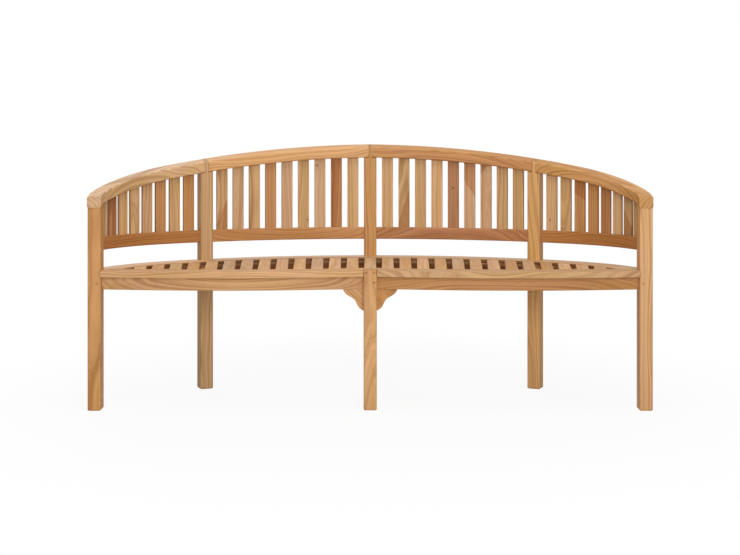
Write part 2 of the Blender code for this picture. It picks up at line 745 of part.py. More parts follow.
def post_tenon_hole(centre, axis, width, depth):
    """The mortise in the back rail over an end post."""
    hole = bmesh.new()
    bottom = under_rail(centre)
    post_hole(hole, centre, axis, width - 2 * POST_SHOULDER, depth - 2 * POST_SHOULDER,
              bottom - POST_TENON_HEIGHT, bottom + POST_TENON_HEIGHT + POST_TENON_RISE + FIT_GAP)
    return hole


def make_top_rails():
    half = TOP_RAIL_WIDTH / 2
    section = eased_rectangle(-half, half, -TOP_RAIL_THICKNESS, 0, TOP_RAIL_CHAMFER)
    to_tongue = REAR_POST_TONGUE / 2 + FIT_GAP
    rear_post_middle = cut_plane(REAR_POST_PLACE, REAR_POST_AXIS)
    middle_planes = (moved_plane(MIDDLE_OF_BENCH, to_tongue), moved_plane(rear_post_middle, -to_tongue))
    end_planes = (moved_plane(rear_post_middle, to_tongue), END_POST_FRONT)
    pair("top_rail_middle_{}", skin(along_back(section, rail_top, middle_planes, RAIL_STEPS_MIDDLE)), "tan",
         (("slat_mortises", slat_mortises(MIDDLE_SLAT_RUNS), "DIFFERENCE"),))
    pair("top_rail_end_{}", skin(along_back(section, rail_top, end_planes, RAIL_STEPS_END)), "golden",
         (("slat_mortises", slat_mortises(END_SLAT_RUNS), "DIFFERENCE"),
          ("post_mortise", post_tenon_hole(*POST_PLACES[2]), "DIFFERENCE")))


def make_back_panels():
    """The lower rails, each with its slats standing in it."""
    half = LOWER_RAIL_WIDTH / 2
    section = eased_rectangle(-half, half, -LOWER_RAIL_HEIGHT, 0, LOWER_RAIL_CHAMFER)
    top = level(LOWER_RAIL_TOP)
    middle_rings = tenoned(along_back(section, top, MIDDLE_BAY, RAIL_STEPS_MIDDLE), *lower_tenons[:2])
    end_rings = tenoned(along_back(section, top, END_BAY, RAIL_STEPS_END), *lower_tenons[2:])
    pair("back_panel_middle_{}", skin(middle_rings), "reddish",
         (("slats", merged([back_slat(run) for run in MIDDLE_SLAT_RUNS]), "UNION"),))
    pair("back_panel_end_{}", skin(end_rings), "reddish",
         (("slats", merged([back_slat(run) for run in END_SLAT_RUNS]), "UNION"),))


# Seat frame: boards on top, aprons under them

BOARD_TOP = level(SEAT_HEIGHT)


def footprint(place):
    """A box round a post, from below the seat boards to above them."""
    hole = bmesh.new()
    post_hole(hole, *place, SEAT_UNDERSIDE - OVERRUN, SEAT_HEIGHT + OVERRUN)
    return hole


def front_board_rings(section, end_plane):
    return along_front(section, BOARD_TOP, (moved_plane(MIDDLE_OF_BENCH, HALF_GAP), end_plane), BOARD_STEPS)


def make_back_boards():
    section = grooved_rectangle(BACK_BOARD_REAR, BACK_BOARD_FRONT, -SEAT_BOARD_THICKNESS, 0)
    middle_planes = (moved_plane(MIDDLE_OF_BENCH, HALF_GAP), moved_plane(RAIL_SEAM, -HALF_GAP))
    middle = skin(along_back(section, BOARD_TOP, middle_planes, BOARD_STEPS))
    pair("seat_board_back_middle_{}", middle, "pinkish",
         (("post_notches", merged([footprint(place) for place in POST_PLACES[:2]]), "DIFFERENCE"),))

    end_planes = (moved_plane(RAIL_SEAM, HALF_GAP), moved_plane(END_POST_REAR, -FIT_GAP))
    end = skin(along_back(section, BOARD_TOP, end_planes, BOARD_STEPS))
    beyond = eased_rectangle(-OVERRUN, FRONT_BOARD_WIDTH + FIT_GAP,
                             -SEAT_BOARD_THICKNESS - OVERRUN, OVERRUN, TENON_CHAMFER)
    pair("seat_board_back_end_{}", end, "pinkish",
         (("post_notch", footprint(POST_PLACES[1]), "DIFFERENCE"),
          ("front_board", skin(front_board_rings(beyond, END_POST_INNER)), "DIFFERENCE")))


def make_front_boards():
    section = grooved_rectangle(0, FRONT_BOARD_WIDTH, -SEAT_BOARD_THICKNESS, 0)
    board_mesh = skin(front_board_rings(section, FRONT_BAY[1]))
    # The notch round the leg is open at the front, where the boards stop short of the leg's face
    notch_depth = FRONT_LEG_DEPTH + FRONT_SWELL
    notch_place = (Vector((0, LEG_REAR_Y - notch_depth / 2)), ACROSS, FRONT_LEG_WIDTH, notch_depth)
    stubs = bmesh.new()
    for tenon in board_tenons:
        tenon.block(stubs, 0, OVERRUN)
    pair("seat_board_front_{}", board_mesh, "tan",
         (("leg_notch", footprint(notch_place), "DIFFERENCE"), ("tenons", stubs, "UNION")))


def make_aprons():
    half = APRON_THICKNESS / 2
    back = eased_rectangle(-half, half, -APRON_HEIGHT, 0, APRON_CHAMFER)
    front = eased_rectangle(APRON_SETBACK, APRON_LINE + half, -APRON_HEIGHT, 0, APRON_CHAMFER)
    top = level(APRON_TOP)
    middle_rings = tenoned(along_back(back, top, MIDDLE_BAY, RAIL_STEPS_MIDDLE), *back_apron_tenons[:2])
    end_rings = tenoned(along_back(back, top, END_BAY, RAIL_STEPS_END), *back_apron_tenons[2:])
    front_rings = tenoned(along_front(front, top, FRONT_BAY, BOARD_STEPS), *front_apron_tenons)
    pair("apron_back_middle_{}", skin(middle_rings), "golden")
    pair("apron_back_end_{}", skin(end_rings), "golden")
    pair("apron_front_{}", skin(front_rings), "golden",
         (("bearer_mortise", mortises(side_bearer_tenons[:1]), "DIFFERENCE"),))


# Seat slats

def slat_ends(line, front_offset, rear_offset):
    """Where a line along a slat leaves the front boards and meets the back boards."""
    low, high = -FRONT_SWELL, BACK_DEPTH
    for _ in range(HALVINGS):
        middle = (low + high) / 2
        spot = line(middle)
        if spot.y < front_plan_y(spot.x) + front_offset:
            low = middle
        else:
            high = middle
    front = line(low)

    low, high = -MIDDLE_RUN, LAST_RUN
    for _ in range(HALVINGS):
        middle = (low + high) / 2
        spot = back_plan(middle, rear_offset)
        if spot.x < line(spot.y).x:
            low = middle
        else:
            high = middle
    return front, back_plan(low, rear_offset)


def seat_slat(centre_x):
    """One slat, a straight plank with a tongue on each end, shaped to the boards' edges that it meets."""
    front_edge = FRONT_BOARD_WIDTH + FIT_GAP
    rear_edge = BACK_BOARD_FRONT - FIT_GAP
    lean = centre_x / SEAT_FAN_REACH
    tongue_top = GROOVE_MIDDLE + GROOVE_HEIGHT / 2 - FIT_GAP
    tongue_bottom = GROOVE_MIDDLE - GROOVE_HEIGHT / 2 + FIT_GAP
    rings = []
    for side in (-1, 0, 1):
        side_x = centre_x + side * SEAT_SLAT_WIDTH / 2

        def line(y, side_x=side_x):
            return Vector((side_x + lean * (y - SEAT_SLAT_LINE), y))

        front, rear = slat_ends(line, front_edge, rear_edge)
        front_tip, rear_tip = slat_ends(line, front_edge - SEAT_SLAT_TONGUE, rear_edge + SEAT_SLAT_TONGUE)
        outline = ((front, SEAT_UNDERSIDE), (rear, SEAT_UNDERSIDE),
                   (rear, tongue_bottom), (rear_tip, tongue_bottom),
                   (rear_tip, tongue_top), (rear, tongue_top),
                   (rear, SLAT_TOP), (front, SLAT_TOP),
                   (front, tongue_top), (front_tip, tongue_top),
                   (front_tip, tongue_bottom), (front, tongue_bottom))
        rings.append([Vector((spot.x, spot.y, height)) for spot, height in outline])
    return skin(rings)


SLAT_TONES = ("pinkish", "tan", "pinkish", "golden")


def make_seat_slats():
    for index in range(-SLATS_PER_SIDE, SLATS_PER_SIDE + 1):
        mesh = seat_slat(abs(index) * SEAT_SLAT_PITCH)
        name = "seat_slat_{:02d}".format(index + SLATS_PER_SIDE + 1)
        piece(name, mesh if index >= 0 else mirrored(mesh), SLAT_TONES[index % len(SLAT_TONES)])


# Bearers and brackets

def bearer(middle_x, front_y, rear_y, tenons):
    """A straight bar from front to rear, each end shaped to what it meets."""
    rings = []
    for end_y in (front_y, rear_y):
        section = eased_rectangle(-BEARER_WIDTH / 2, BEARER_WIDTH / 2, *APRON_RANGE, APRON_CHAMFER)
        rings.append([Vector((middle_x + offset, end_y(middle_x + offset), height))
                      for offset, height in section])
    return skin(tenoned(rings, *tenons))


def make_bearers():
    piece("bearer_centre", bearer(0, leg_rear, centre_post_front, centre_bearer_tenons), "golden")
    pair("bearer_{}", bearer(SIDE_BEARER_X, apron_rear, rear_post_front, side_bearer_tenons), "golden")


def make_brackets():
    """Two small ogee brackets in the corners between the middle leg and the front aprons."""
    corner = Vector((LEG_SIDE_X + FIT_GAP, APRON_RANGE[0] - FIT_GAP))
    tip = corner + Vector((BRACKET_REACH, 0))
    toe = corner - Vector((0, BRACKET_DROP))
    start = tip - Vector((0, BRACKET_TOE))
    edge = toe + Vector((BRACKET_TOE, 0)) - start
    outwards = Vector((-edge.y, edge.x)).normalized()
    outline = [corner, tip]
    for step in range(BRACKET_STEPS + 1):
        share = step / BRACKET_STEPS
        wave = BRACKET_LOBE * sin(3 * pi * share) - BRACKET_HOLLOW * sin(pi * share)
        outline.append(start + edge * share + outwards * wave)
    outline.append(toe)
    slope = (front_plan_y(tip.x) - front_plan_y(corner.x)) / BRACKET_REACH
    rings = []
    for face in (-BRACKET_THICKNESS / 2, BRACKET_THICKNESS / 2):
        corner_y = front_plan_y(corner.x) + APRON_LINE + face
        rings.append([Vector((spot.x, corner_y + slope * (spot.x - corner.x), spot.y)) for spot in outline])
    pair("leg_bracket_{}", skin(rings), "reddish")


make_posts()
make_top_rails()
make_back_panels()
make_back_boards()
make_front_boards()
make_aprons()
make_seat_slats()
make_bearers()
make_brackets()
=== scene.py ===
# %% [markdown]
# # A curved garden bench in teak
#
# The packed model holds every board of the bench at its real size, but with knife edges and no wood in it.
# This lesson dresses it. Each board gets eased edges and a grain of its own, the slats of the back come off
# their rails, and pegs go into the joints. Then the bench stands on a white floor in soft light, seen from
# straight in front.

# %% Load the bench
import json
from math import pi, radians
from random import Random

import bmesh
import bpy
import numpy as np
from mathutils import Matrix, Vector
from mathutils.bvhtree import BVHTree


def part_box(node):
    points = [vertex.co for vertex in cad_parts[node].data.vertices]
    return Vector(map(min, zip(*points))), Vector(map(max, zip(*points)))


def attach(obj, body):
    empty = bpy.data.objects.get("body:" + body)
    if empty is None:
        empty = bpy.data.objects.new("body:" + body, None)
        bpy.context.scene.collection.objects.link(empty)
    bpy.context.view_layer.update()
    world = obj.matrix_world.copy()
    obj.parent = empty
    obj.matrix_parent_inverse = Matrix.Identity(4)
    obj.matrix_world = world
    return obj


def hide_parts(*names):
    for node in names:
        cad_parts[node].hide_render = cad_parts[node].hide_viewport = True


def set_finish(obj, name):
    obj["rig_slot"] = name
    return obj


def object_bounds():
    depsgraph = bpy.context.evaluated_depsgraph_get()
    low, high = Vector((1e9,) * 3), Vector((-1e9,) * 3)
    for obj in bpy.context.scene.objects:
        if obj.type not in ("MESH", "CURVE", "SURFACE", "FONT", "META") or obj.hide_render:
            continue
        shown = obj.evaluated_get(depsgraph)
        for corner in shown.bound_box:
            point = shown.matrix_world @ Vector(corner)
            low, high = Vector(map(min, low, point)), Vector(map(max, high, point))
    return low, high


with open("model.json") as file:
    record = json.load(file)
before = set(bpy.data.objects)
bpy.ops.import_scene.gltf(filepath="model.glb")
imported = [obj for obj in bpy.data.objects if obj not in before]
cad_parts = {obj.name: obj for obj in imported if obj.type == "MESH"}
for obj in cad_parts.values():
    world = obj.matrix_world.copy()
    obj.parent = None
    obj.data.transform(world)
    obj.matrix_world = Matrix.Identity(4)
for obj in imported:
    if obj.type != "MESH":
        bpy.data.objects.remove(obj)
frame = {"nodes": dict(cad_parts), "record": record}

cad_box = [list(corner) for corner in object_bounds()]
print("pieces in the model:", len(frame["nodes"]))

# %% [markdown]
# ## The camera
#
# The bench is seen from straight in front, from a little above its back rail, and its posts stay upright in
# the picture. A camera that is tilted down would make them lean together. So this one looks level, and its
# frame is shifted down instead. The distance follows from how much smaller the rear feet look than the front
# ones, and the lens from the bench's width.

# %% Place the camera
PICTURE_WIDTH = 740
PICTURE_HEIGHT = 555
FOCAL_PIXELS = 1288.6
HORIZON_ROW = 140
BENCH_COLUMN = 370.2
SENSOR_WIDTH = 36
CAMERA_DISTANCE = 4.1
CAMERA_HEIGHT = 0.8626

lens = bpy.data.cameras.new("level_camera")
lens.sensor_fit = "HORIZONTAL"
lens.sensor_width = SENSOR_WIDTH
lens.lens = FOCAL_PIXELS / PICTURE_WIDTH * SENSOR_WIDTH
lens.shift_x = (PICTURE_WIDTH / 2 - BENCH_COLUMN) / PICTURE_WIDTH
lens.shift_y = (HORIZON_ROW - PICTURE_HEIGHT / 2) / PICTURE_WIDTH
camera = bpy.data.objects.new("level_camera", lens)
camera.location = (0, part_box("end_post_right")[0].y - CAMERA_DISTANCE, CAMERA_HEIGHT)
camera.rotation_euler = (pi / 2, 0, 0)
bpy.context.scene.collection.objects.link(camera)
bpy.context.scene.camera = camera
print("lens in mm:", round(lens.lens, 1))

# %% [markdown]
# ## Sums of shader values
#
# A material is a web of nodes, and most of its maths is plain sums and products. Wiring those by hand hides
# what they mean. So a small class stands for one output of a node: a sum of two of them adds the Math node
# that works it out, and all other nodes come from its one method, settings first and inputs after.


# %% Let shader values be added and multiplied
class Signal:
    """One output of a material's nodes, or the bare node tree where a recipe starts."""

    def __init__(self, tree, output=None):
        self.tree = tree
        self.output = output

    def node(self, kind, settings=None, inputs=None, output=0):
        """Adds a node and gives one of its outputs."""
        made = self.tree.nodes.new(kind)
        for name, value in (settings or {}).items():
            setattr(made, name, value)
        for name, value in (inputs or {}).items():
            if isinstance(value, Signal):
                self.tree.links.new(value.output, made.inputs[name])
            else:
                made.inputs[name].default_value = value
        return Signal(self.tree, made.outputs[output])

    def math(self, operation, *values):
        return self.node("ShaderNodeMath", {"operation": operation}, dict(enumerate(values)))

    def __add__(self, other):
        return self.math("ADD", self, other)

    __radd__ = __add__

    def __sub__(self, other):
        return self.math("SUBTRACT", self, other)

    def __rsub__(self, other):
        return self.math("SUBTRACT", other, self)

    def __mul__(self, other):
        return self.math("MULTIPLY", self, other)

    __rmul__ = __mul__

    def __pow__(self, other):
        return self.math("POWER", self, other)


def rise(value, low, high):
    """A soft step: 0 below the low value, 1 above the high one."""
    return value.node(
        "ShaderNodeMapRange",
        {"interpolation_type": "SMOOTHSTEP"},
        {"Value": value, "From Min": low, "From Max": high},
    )


def length(vector):
    """The length of a vector: how far a place lies from the middle of its pattern."""
    return vector.node("ShaderNodeVectorMath", {"operation": "LENGTH"}, {0: vector}, output="Value")


print("operators ready:", ", ".join(name for name in vars(Signal) if name.startswith("__r")))

# %% [markdown]
# ## A white floor
#
# The bench stands on plain white. A floor that was really lit up to white would throw that light back onto
# the wood. Light Path tells which rays come from the camera, so those rays see plain white, and the light
# that falls on the bench stays modest. Gloss sees the white too. Near the bench a part of the floor's true
# shade is left in, so that the feet keep their shadow, and it fades out before the floor's far edge.

# %% Make the helper that shows plain white
WHITE = (1, 1, 1, 1)


def show_white(tree, kind, shader, share):
    """Mixes this share of plain white into a shader for the rays that look at it."""
    start = Signal(tree)
    camera_ray = start.node("ShaderNodeLightPath", output="Is Camera Ray")
    glossy_ray = start.node("ShaderNodeLightPath", output="Is Glossy Ray")
    plain = start.node(kind, inputs={"Color": WHITE, "Strength": 1})
    looked_at = camera_ray.math("MAXIMUM", camera_ray, glossy_ray) * share
    return start.node("ShaderNodeMixShader", inputs={0: looked_at, 1: shader, 2: plain})


print("plain white:", WHITE)

# %% Lay the floor
FLOOR_SIZE = 14
FLOOR_WHITE = 0.72
FLOOR_ROUGHNESS = 0.9
FLOOR_SHADE_SHARE = 0.08
SHADE_NEAR = 0.7
SHADE_FAR = 1.7


def deselect():
    """Leaves edit mode with nothing selected, so that the next operator touches its own piece alone."""
    if bpy.context.mode != "OBJECT":
        bpy.ops.object.mode_set(mode="OBJECT")
    bpy.ops.object.select_all(action="DESELECT")


deselect()
bpy.ops.mesh.primitive_plane_add(size=FLOOR_SIZE)
floor = bpy.context.object
floor.name = "floor"
paper = bpy.data.materials.new("white_floor")
paper.use_nodes = True
paper_shader = paper.node_tree.nodes["Principled BSDF"]
paper_shader.inputs["Base Color"].default_value = (FLOOR_WHITE, FLOOR_WHITE, FLOOR_WHITE, 1)
paper_shader.inputs["Roughness"].default_value = FLOOR_ROUGHNESS
paper_start = Signal(paper.node_tree, paper_shader.outputs[0])
distance = length(paper_start.node("ShaderNodeTexCoord", output="Object"))
shade_share = (1 - rise(distance, SHADE_NEAR, SHADE_FAR)) * FLOOR_SHADE_SHARE
paper_look = show_white(paper.node_tree, "ShaderNodeEmission", paper_start, 1 - shade_share)
paper.node_tree.links.new(paper_look.output, paper.node_tree.nodes["Material Output"].inputs["Surface"])
floor.data.materials.append(paper)
print("floor in metres:", FLOOR_SIZE)

# %% [markdown]
# ## Soft light
#
# Large lamps far from the bench give soft edges to every shadow, as a studio does. One lamp would leave the
# back of the bench black, so there are three. The strongest stands in front, so the faces of the boards are
# bright and their flanks fall off into shade. It stands low, so the seat's edge throws only a thin shadow on
# the apron below. A weaker one hangs overhead and lifts the seat, and a third lights the back for whoever
# walks round the bench. The room's own light is low and only keeps the gaps from going black.

# %% Light the room
ROOM_LIGHT = 0.24

room = bpy.data.worlds.new("studio")
bpy.context.scene.world = room
room.use_nodes = True
room_shader = room.node_tree.nodes["Background"]
room_shader.inputs["Color"].default_value = WHITE
room_shader.inputs["Strength"].default_value = ROOM_LIGHT
room_start = Signal(room.node_tree, room_shader.outputs[0])
room_look = show_white(room.node_tree, "ShaderNodeBackground", room_start, 1)
room.node_tree.links.new(room_look.output, room.node_tree.nodes["World Output"].inputs["Surface"])
print("room light:", ROOM_LIGHT)

# %% Hang the lamps
LAMPS = {
    "overhead_lamp": ((0.0, -0.9, 3.4), 2.4, 64),
    "front_lamp": ((0.5, -4.8, 1.4), 2.2, 137),
    "back_lamp": ((-1.8, 3.4, 3.6), 1.8, 52),
}


def hang_lamp(name, place, size, power):
    """A square lamp, with its size in metres and its power in watts, that faces the middle of the bench."""
    target = (Vector(cad_box[0]) + Vector(cad_box[1])) / 2
    light = bpy.data.lights.new(name, "AREA")
    light.size = size
    light.energy = power
    lamp = bpy.data.objects.new(name, light)
    lamp.location = place
    lamp.rotation_euler = (target - lamp.location).to_track_quat("-Z", "Y").to_euler()
    bpy.context.scene.collection.objects.link(lamp)


for name, values in LAMPS.items():
    hang_lamp(name, *values)
bpy.context.scene.view_settings.view_transform = "Standard"
print("lamps:", ", ".join(LAMPS))

# %% [markdown]
# ## Which edges a hand can reach
#
# Sawn and sanded boards have no knife edges, but a joiner eases only those that a hand can reach. Tenons and
# the rims of mortises stay crisp, so that the joints stay tight. The edges could be picked by hand, board by
# board. Here a point just outside each edge is looked at instead: where it lies inside a neighbour, the edge
# is hidden in a joint. One search tree over all the solids makes that quick.

# %% Feel for neighbours
REACH = 0.0015
SEARCH_REACH = 2 * REACH


def shared_tree():
    """One search tree over the surfaces of all nodes, and the node that owns each of its faces."""
    corners, faces, owners = [], [], []
    for node, solid in frame["nodes"].items():
        first = len(corners)
        corners += [corner.co.copy() for corner in solid.data.vertices]
        faces += [[first + index for index in face.vertices] for face in solid.data.polygons]
        owners += [node] * len(solid.data.polygons)
    return BVHTree.FromPolygons(corners, faces), owners


surfaces, owners = shared_tree()


def in_neighbour(point, node):
    """Whether a point lies inside a solid other than this node's."""
    near = [hit for hit in surfaces.find_nearest_range(point, SEARCH_REACH) if owners[hit[2]] != node]
    if not near:
        return False
    place, normal, _, _ = min(near, key=lambda hit: hit[3])
    return (point - place).dot(normal) < 0


print("faces in the search tree:", len(owners))

# %% [markdown]
# ## A clean copy of a solid
#
# The solids of the model stay as they are, so every board starts as a copy of one. A solid comes as loose
# triangles, and a bevel would break up on them. In edit mode their doubles are merged, and what lies flat is
# dissolved into whole faces. A face that runs round a mortise would have a hole in it, which Blender can't
# hold. So each post is first cut straight across above and below every mortise, and those cuts are kept.

# %% Copy a solid
MERGE_DISTANCE = 0.00001
FLAT_ANGLE = radians(0.5)
HEIGHT_DIGITS = 4
MORTISE_CORNERS = 4


def take(piece):
    """Makes this piece the only selected one, and the active one."""
    deselect()
    piece.select_set(True)
    bpy.context.view_layer.objects.active = piece


def cut_at_mortises(piece):
    """Cuts a post across at each height that has enough corners for a mortise, but not at its two ends."""
    heights = np.round([corner.co.z for corner in piece.data.vertices], HEIGHT_DIGITS)
    levels, counts = np.unique(heights, return_counts=True)
    bpy.ops.object.mode_set(mode="EDIT")
    bpy.ops.mesh.select_mode(type="EDGE")
    for level in levels[counts >= MORTISE_CORNERS][1:-1]:
        bpy.ops.mesh.select_all(action="SELECT")
        bpy.ops.mesh.bisect(plane_co=(0, 0, level), plane_no=(0, 0, 1))
        bpy.ops.mesh.mark_seam()
    bpy.ops.object.mode_set(mode="OBJECT")


def copy_solid(node, name):
    """A copy of a node's solid with clean flat faces."""
    piece = bpy.data.objects.new(name, frame["nodes"][node].data.copy())
    piece.data.materials.clear()
    bpy.context.scene.collection.objects.link(piece)
    take(piece)
    bpy.ops.mesh.customdata_custom_splitnormals_clear()
    bpy.ops.object.mode_set(mode="EDIT")
    bpy.ops.mesh.select_all(action="SELECT")
    bpy.ops.mesh.remove_doubles(threshold=MERGE_DISTANCE)
    bpy.ops.object.mode_set(mode="OBJECT")
    if "post" in node or "leg_centre" in node:
        cut_at_mortises(piece)
    bpy.ops.object.mode_set(mode="EDIT")
    bpy.ops.mesh.select_all(action="SELECT")
    bpy.ops.mesh.dissolve_limited(angle_limit=FLAT_ANGLE, delimit={"SEAM"})
    bpy.ops.object.mode_set(mode="OBJECT")
    return piece


print("doubles merged within metres:", MERGE_DISTANCE)

# %% [markdown]
# ## Eased edges
#
# Sandpaper takes about a millimetre off each edge, and the light catches a thin line there. A bevel modifier
# would treat every sharp edge alike, so the open ones are picked in edit mode and bevelled there. Where a
# part of a curve is open, the rest of the curve goes along with it, so that no bevel stops halfway. Smooth
# shading with weighted normals then lets the bevels look round and the broad faces flat.

# %% Choose the edges to ease
SHARP_ANGLE = radians(28)
SAME_WAY = 0.9


def is_sharp(edge):
    """Whether an edge stands out and is sharp."""
    return len(edge.link_faces) == 2 and edge.calc_face_angle_signed() > SHARP_ANGLE


def is_open(edge, node):
    """Whether a point just outside the middle of an edge is free of every neighbour."""
    outwards = (edge.link_faces[0].normal + edge.link_faces[1].normal).normalized()
    middle = (edge.verts[0].co + edge.verts[1].co) / 2
    return not in_neighbour(middle + outwards * REACH, node)


def runs_on(edge, other):
    """Whether one edge carries on in the direction of another, as along a curve."""
    ways = [(end.co - start.co).normalized() for start, end in (edge.verts, other.verts)]
    return abs(ways[0].dot(ways[1])) > SAME_WAY


def edges_to_ease(mesh, node):
    """The sharp open edges of a board, with the rest of each curve that one of them belongs to."""
    chosen = {edge for edge in mesh.edges if is_sharp(edge) and is_open(edge, node)}
    waiting = list(chosen)
    while waiting:
        edge = waiting.pop()
        for other in edge.verts[0].link_edges[:] + edge.verts[1].link_edges[:]:
            if other not in chosen and is_sharp(other) and runs_on(edge, other):
                chosen.add(other)
                waiting.append(other)
    return chosen


print("an edge is sharp past radians:", round(SHARP_ANGLE, 2))

# %% Ease the open edges
EASED_EDGE = 0.0012
EASED_SEGMENTS = 2


def ease(piece, node):
    """Rounds the open sharp edges of a piece and shades it smooth, with its broad faces kept flat."""
    take(piece)
    bpy.ops.object.mode_set(mode="EDIT")
    bpy.ops.mesh.select_mode(type="EDGE")
    bpy.ops.mesh.select_all(action="DESELECT")
    mesh = bmesh.from_edit_mesh(piece.data)
    for edge in edges_to_ease(mesh, node):
        edge.select = True
    bmesh.update_edit_mesh(piece.data)
    bpy.ops.mesh.bevel(offset=EASED_EDGE, segments=EASED_SEGMENTS, affect="EDGES", clamp_overlap=False)
    bpy.ops.object.mode_set(mode="OBJECT")
    bpy.ops.object.shade_smooth_by_angle(angle=SHARP_ANGLE)
    modifier = piece.modifiers.new("weighted_normal", "WEIGHTED_NORMAL")
    modifier.keep_sharp = True
    bpy.ops.object.modifier_apply(modifier=modifier.name)


print("eased edges in metres:", EASED_EDGE)

# %% [markdown]
# ## Booking a board
#
# A finished board is booked with the frame: it rides on the bench's one body, it stands for its solid, and
# it takes its finish from that solid's slot. Its kind is written on it, because the tones of the wood are
# chosen by kind later on. Most boards need nothing else, so one helper dresses all boards of a kind.

# %% Book boards
boards = []


def keep_board(piece, node, kind):
    """Books a finished board: what it stands for, where its finish comes from, and that it is fixed."""
    rows = {row["node"]: row["material_slot"] for row in frame["record"]["subparts"]}
    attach(piece, "root")
    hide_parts(node)
    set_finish(piece, rows[node])
    piece["kind"] = kind
    boards.append(piece)


def dress(kind, *beginnings):
    """Turns every node whose name begins like this into a board of this kind."""
    made = 0
    for node in sorted(frame["nodes"]):
        if node.startswith(beginnings):
            piece = copy_solid(node, "teak_" + node)
            ease(piece, node)
            keep_board(piece, node, kind)
            made += 1
    print(kind, "boards:", made)


print("solids that wait for a board:", len(frame["nodes"]))

# %% [markdown]
# ## Posts and the front leg
#
# Six uprights carry the bench: a post at each end that is leg and arm support in one, three rear posts
# that run on up into the top rail, and a short leg under the middle of the seat's front edge. They are
# straight sticks with tenons, so the solids need nothing but their eased edges.

# %% Dress the posts
dress("post", "end_post", "rear_post", "front_leg")

# %% [markdown]
# ## The top rail
#
# Four curved boards meet over the rear posts and run down to the end posts, where they make the arms. On
# the real bench they are sawn from thick planks, not bent, which is why their grain runs straight through
# the curve. Their round top edge is already in the solids.

# %% Dress the top rail
dress("rail", "top_rail")

# %% [markdown]
# ## The slats of the back
#
# Each bay of the back has a curved lower rail and eight or nine slats between it and the top rail. In the
# model a rail and its slats are one solid. Real slats are single sticks with a grain of their own, so they
# come apart here. They could be modelled anew, but the solid already has each of them at its true place and
# turn. So all that stands above the rail is split off in edit mode and falls into loose slats. To know where
# to split, the height of the rail's flat top is measured first.

# %% Measure the lower rails
UPWARDS = 0.99

bay_names = ["end_left", "middle_left", "middle_right", "end_right"]


def rail_height(piece):
    """The height of the lower rail's flat top: the level that holds the most upward area."""
    areas = {}
    for face in piece.data.polygons:
        if face.normal.z > UPWARDS:
            level = round(face.center.z, HEIGHT_DIGITS)
            areas[level] = areas.get(level, 0) + face.area
    return max(areas, key=areas.get)


for bay in bay_names:
    print("bay", bay, "rail top:", rail_height(frame["nodes"]["back_panel_" + bay]))

# %% [markdown]
# ## Splitting a bay
#
# Separate is used twice: first on all faces above the rail, and then on loose pieces, which gives one object
# for each slat. The first cut leaves openings in the rail and under the slats. Their rims are the only edges
# with a face on one side, so Blender can find them by itself, and they are filled. At last each slat's foot
# goes a little way into the rail, as into its groove.

# %% Make the helper that splits a bay
RAIL_TOP_MARGIN = 0.0005


def split_slats(piece, top):
    """Splits what stands above the rail from it, and gives the loose slats from left to right."""
    take(piece)
    bpy.ops.object.mode_set(mode="EDIT")
    bpy.ops.mesh.select_mode(type="FACE")
    bpy.ops.mesh.select_all(action="DESELECT")
    mesh = bmesh.from_edit_mesh(piece.data)
    for face in mesh.faces:
        face.select = face.calc_center_median().z > top + RAIL_TOP_MARGIN
    bmesh.update_edit_mesh(piece.data)
    bpy.ops.mesh.separate(type="SELECTED")
    bpy.ops.object.mode_set(mode="OBJECT")
    upper = next(other for other in bpy.context.selected_objects if other != piece)
    take(upper)
    bpy.ops.object.mode_set(mode="EDIT")
    bpy.ops.mesh.separate(type="LOOSE")
    bpy.ops.object.mode_set(mode="OBJECT")
    slats = list(bpy.context.selected_objects)
    return sorted(slats, key=lambda slat: np.mean([corner[0] for corner in slat.bound_box]))


print("faces come off from this far above the rail, in metres:", RAIL_TOP_MARGIN)

# %% Make the helpers that close and sink a slat
FOOT_DEPTH = 0.003


def close_holes(piece):
    """Closes the openings that splitting left, with the faces pointing outwards."""
    take(piece)
    bpy.ops.object.mode_set(mode="EDIT")
    bpy.ops.mesh.select_mode(type="EDGE")
    bpy.ops.mesh.select_all(action="DESELECT")
    bpy.ops.mesh.select_non_manifold()
    bpy.ops.mesh.fill_holes(sides=0)
    bpy.ops.mesh.select_all(action="SELECT")
    bpy.ops.mesh.normals_make_consistent(inside=False)
    bpy.ops.object.mode_set(mode="OBJECT")


def sink_foot(piece, top):
    """Moves the slat's foot down into the rail."""
    take(piece)
    bpy.ops.object.mode_set(mode="EDIT")
    bpy.ops.mesh.select_mode(type="VERT")
    bpy.ops.mesh.select_all(action="DESELECT")
    mesh = bmesh.from_edit_mesh(piece.data)
    for corner in mesh.verts:
        corner.select = corner.co.z < top + RAIL_TOP_MARGIN
    mesh.select_flush(True)
    bmesh.update_edit_mesh(piece.data)
    bpy.ops.transform.translate(value=(0, 0, -FOOT_DEPTH))
    bpy.ops.object.mode_set(mode="OBJECT")


print("a slat's foot goes in by metres:", FOOT_DEPTH)

# %% [markdown]
# ## The four bays
#
# The bays are taken apart from left to right, and the slats are numbered on through all of them. Later on
# the number gives each slat its own tone. Rails and slats are eased only after the split, because bevels
# made before it would run together at the slats' feet and be cut there.

